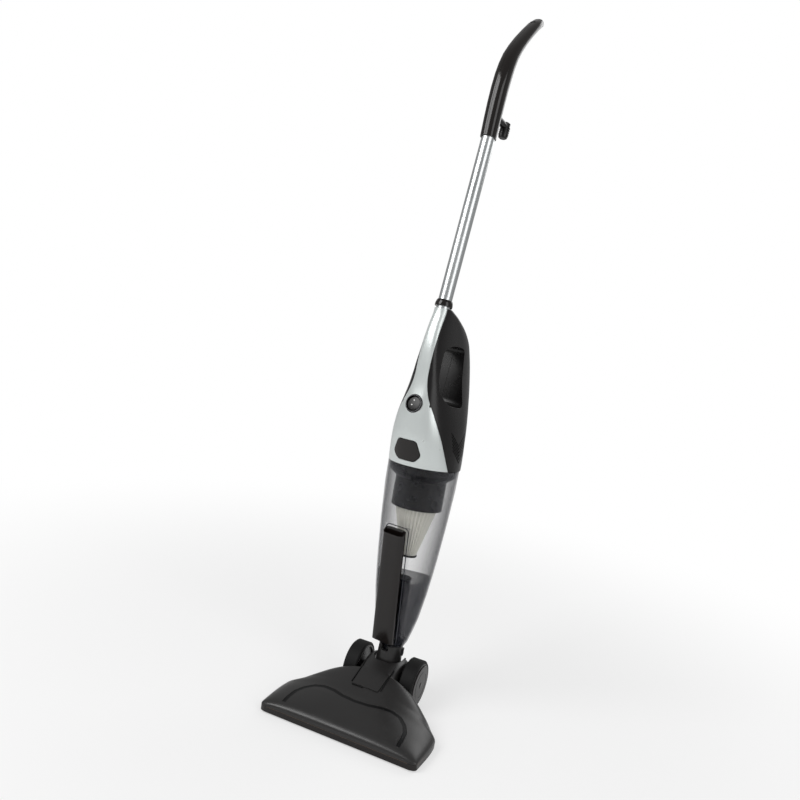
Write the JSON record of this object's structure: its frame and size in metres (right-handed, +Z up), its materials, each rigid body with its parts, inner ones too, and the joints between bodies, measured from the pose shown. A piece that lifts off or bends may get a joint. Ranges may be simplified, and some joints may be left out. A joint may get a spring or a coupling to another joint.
{
  "type": "upright vacuum cleaner",
  "caption": "Slim upright vacuum cleaner with a tilting floor head, clear dust cup, hand unit with a loop handle, straight tube and curved grip.",
  "frame": {"origin": "on the floor, in the middle of the head, straight under the wheel axle", "axes": "+X to the right seen from in front, +Y towards the user, away from the front of the head, +Z up"},
  "size_m": [0.254, 0.3518, 1.1006],
  "materials": {
    "satin_black": "satin",
    "dark_grey_plastic": "satin",
    "gloss_black": "polished",
    "silver_plastic": "satin metallic",
    "smoky_clear": "polished",
    "brushed_metal": "brushed",
    "steel": "machined",
    "dark_iron": "laminated",
    "black_rubber": "matte",
    "white_filter": "pleated",
    "black_bristle": "matte"
  },
  "bodies": {
    "head": {"head_base": "gloss_black", "head_cover": "dark_grey_plastic", "head_trim_band": "gloss_black", "centre_panel": "dark_grey_plastic", "suction_duct": "satin_black", "neck_cradle": "satin_black", "front_bristles": "black_bristle", "rear_bristles": "black_bristle", "head_screw_1": "steel", "head_screw_2": "steel", "head_screw_3": "steel", "head_screw_4": "steel", "pivot_pin_left": "steel", "pivot_pin_right": "steel", "axle_left": "steel", "axle_right": "steel"},
    "wheel_left": {"wheel_hub_left": "satin_black", "wheel_tyre_left": "black_rubber", "wheel_cap_left": "gloss_black"},
    "wheel_right": {"wheel_hub_right": "satin_black", "wheel_tyre_right": "black_rubber", "wheel_cap_right": "gloss_black"},
    "elbow": {"neck_elbow": "dark_grey_plastic"},
    "socket": {"neck_socket": "dark_grey_plastic"},
    "neck_button": {"neck_release_button": "satin_black"},
    "cup": {"dust_cup": "smoky_clear", "inlet_tube": "smoky_clear"},
    "flap": {"inlet_flap": "black_rubber"},
    "tool": {"crevice_tool": "gloss_black"},
    "hand": {"filter_holder": "satin_black", "cup_seal": "black_rubber", "pleated_filter": "white_filter", "filter_end_disc": "satin_black", "filter_collar": "satin_black", "front_cover": "silver_plastic", "rear_shell_left": "satin_black", "rear_shell_right": "satin_black", "switch_bezel": "gloss_black", "cord_gland": "black_rubber", "fan_shroud": "satin_black", "motor_can": "steel", "motor_mount_ring": "black_rubber", "collar_ring": "gloss_black"},
    "rocker": {"rocker_switch": "satin_black"},
    "cup_button": {"cup_release_button": "gloss_black"},
    "rotor": {"motor_armature": "dark_iron", "motor_shaft": "steel", "fan_impeller": "brushed_metal"},
    "tube": {"extension_tube": "brushed_metal", "top_grip_left": "gloss_black", "top_grip_right": "gloss_black", "hook_pin": "steel"},
    "hook": {"cord_hook": "satin_black"}
  },
  "joints": [
    {"name": "wheel_left_spin", "type": "hinge", "parent": "head", "child": "wheel_left", "pos_m": [-0.05, 0, 0.0375], "axis": [1, 0, 0], "continuous": true},
    {"name": "wheel_right_spin", "type": "hinge", "parent": "head", "child": "wheel_right", "pos_m": [0.05, 0, 0.0375], "axis": [1, 0, 0], "continuous": true},
    {"name": "neck_tilt", "type": "hinge", "parent": "head", "child": "elbow", "pos_m": [0, 0.0029, 0.0365], "axis": [-1, 0, 0], "range_deg": [0, 65]},
    {"name": "neck_swivel", "type": "hinge", "parent": "elbow", "child": "socket", "pos_m": [0, 0.0029, 0.0365], "axis": [0, 0.0698, 0.9976], "range_deg": [-80, 100]},
    {"name": "neck_release", "type": "slide", "parent": "socket", "child": "neck_button", "axis": [-0.9659, -0.2582, 0.0181], "range_m": [0, 0.0015], "stiffness_N_per_m": 300, "springref_m": -0.001},
    {"name": "cup_lift", "type": "slide", "parent": "socket", "child": "cup", "axis": [0, 0.0698, 0.9976], "range_m": [0, 0.08]},
    {"name": "inlet_flap_swing", "type": "hinge", "parent": "cup", "child": "flap", "pos_m": [0.00228, 0.02681, 0.19351], "axis": [-0.9848, 0.1732, -0.0121], "range_deg": [0, 50]},
    {"name": "tool_pull", "type": "slide", "parent": "cup", "child": "tool", "axis": [-0.1736, -0.9824, 0.0687], "range_m": [0, 0.08]},
    {"name": "hand_lift", "type": "slide", "parent": "cup", "child": "hand", "axis": [0, 0.0698, 0.9976], "range_m": [0, 0.15]},
    {"name": "switch_rock", "type": "hinge", "parent": "hand", "child": "rocker", "pos_m": [-0.01054, -0.02634, 0.47777], "axis": [0.9848, -0.1732, 0.0121], "range_deg": [0, 12]},
    {"name": "cup_release", "type": "slide", "parent": "hand", "child": "cup_button", "axis": [0.1736, 0.9824, -0.0687], "range_m": [0, 0.0025], "stiffness_N_per_m": 300, "springref_m": -0.001},
    {"name": "rotor_spin", "type": "hinge", "parent": "hand", "child": "rotor", "pos_m": [0, 0.0322, 0.45548], "axis": [0, 0.0698, 0.9976], "continuous": true},
    {"name": "tube_pull", "type": "slide", "parent": "hand", "child": "tube", "axis": [0.0269, 0.2209, 0.9749], "range_m": [0, 0.08]},
    {"name": "hook_turn", "type": "hinge", "parent": "tube", "child": "hook", "pos_m": [0.00349, 0.08504, 0.92715], "axis": [0.1716, 0.9598, -0.2222], "range_deg": [0, 180]}
  ]
}
